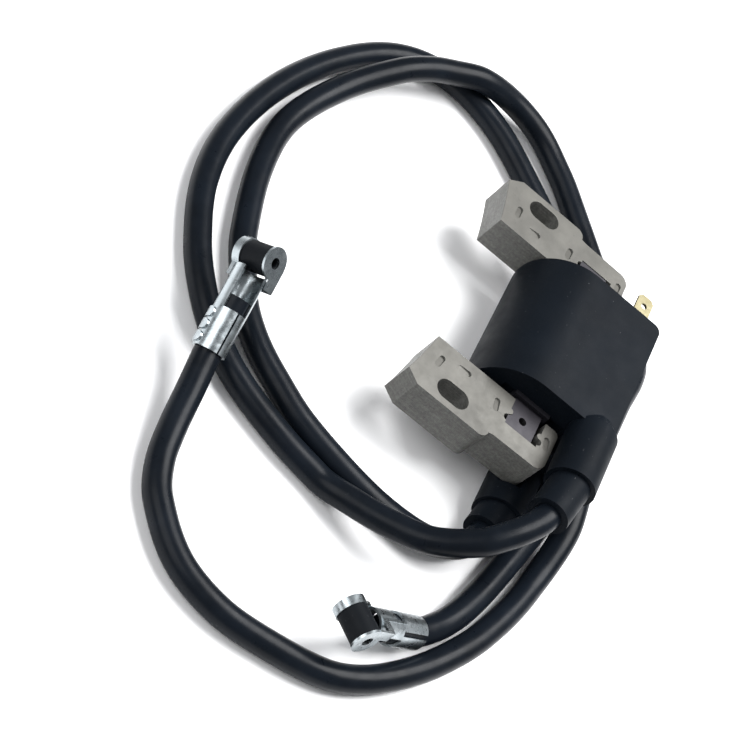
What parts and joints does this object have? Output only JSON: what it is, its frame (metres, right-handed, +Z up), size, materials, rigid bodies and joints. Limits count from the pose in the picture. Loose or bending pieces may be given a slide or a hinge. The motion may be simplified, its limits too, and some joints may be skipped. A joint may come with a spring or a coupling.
{
  "type": "ignition coil",
  "caption": "Two-tower ignition coil for a small V-twin engine: laminated steel legs, a potted coil body and two rubber ignition leads with spring clips.",
  "frame": {"origin": "midway between the two mounting slots, in the plane of the legs' undersides", "axes": "+X towards the end with the two lead towers, +Y away from the flywheel, +Z up through the lamination stack"},
  "size_m": [0.1984, 0.1318, 0.0328],
  "materials": {
    "lamination_steel": "sheared lamination stack, satin with fine grain",
    "yoke_steel": "dull oxide-darkened steel",
    "case_plastic": "matte moulded, fine specks",
    "potting_resin": "cast epoxy, semi-matte",
    "bobbin_plastic": "moulded nylon",
    "enamelled_wire": null,
    "board_laminate": "glass laminate with solder mask",
    "component_plastic": "moulded component body",
    "resistor_body": "lacquered",
    "plated_brass": "tin-plated brass, satin",
    "contact_brass": "plain brass",
    "lead_rubber": "smooth extruded rubber, semi-gloss",
    "zinc_plated_steel": "bright zinc plate",
    "insert_plastic": "moulded, matte"
  },
  "bodies": {
    "root": {"tower_side_leg": "lamination_steel", "tab_side_leg": "lamination_steel", "yoke_bar": "yoke_steel", "coil_case": "case_plastic", "potting_fill": "potting_resin", "primary_bobbin": "bobbin_plastic", "primary_winding": "enamelled_wire", "secondary_bobbin": "bobbin_plastic", "secondary_winding": "enamelled_wire", "circuit_board": "board_laminate", "switching_transistor": "component_plastic", "trigger_coil": "enamelled_wire", "storage_resistor": "resistor_body", "blocking_diode": "component_plastic", "kill_terminal": "plated_brass", "ground_wire": "enamelled_wire", "ht_contact_upper": "contact_brass", "ht_contact_lower": "contact_brass", "ht_link_upper": "enamelled_wire", "ht_link_lower": "enamelled_wire", "lead_upper": "lead_rubber", "lead_lower": "lead_rubber", "terminal_clip_upper": "zinc_plated_steel", "terminal_clip_lower": "zinc_plated_steel", "terminal_insert_upper": "insert_plastic", "terminal_insert_lower": "insert_plastic"}
  },
  "joints": []
}
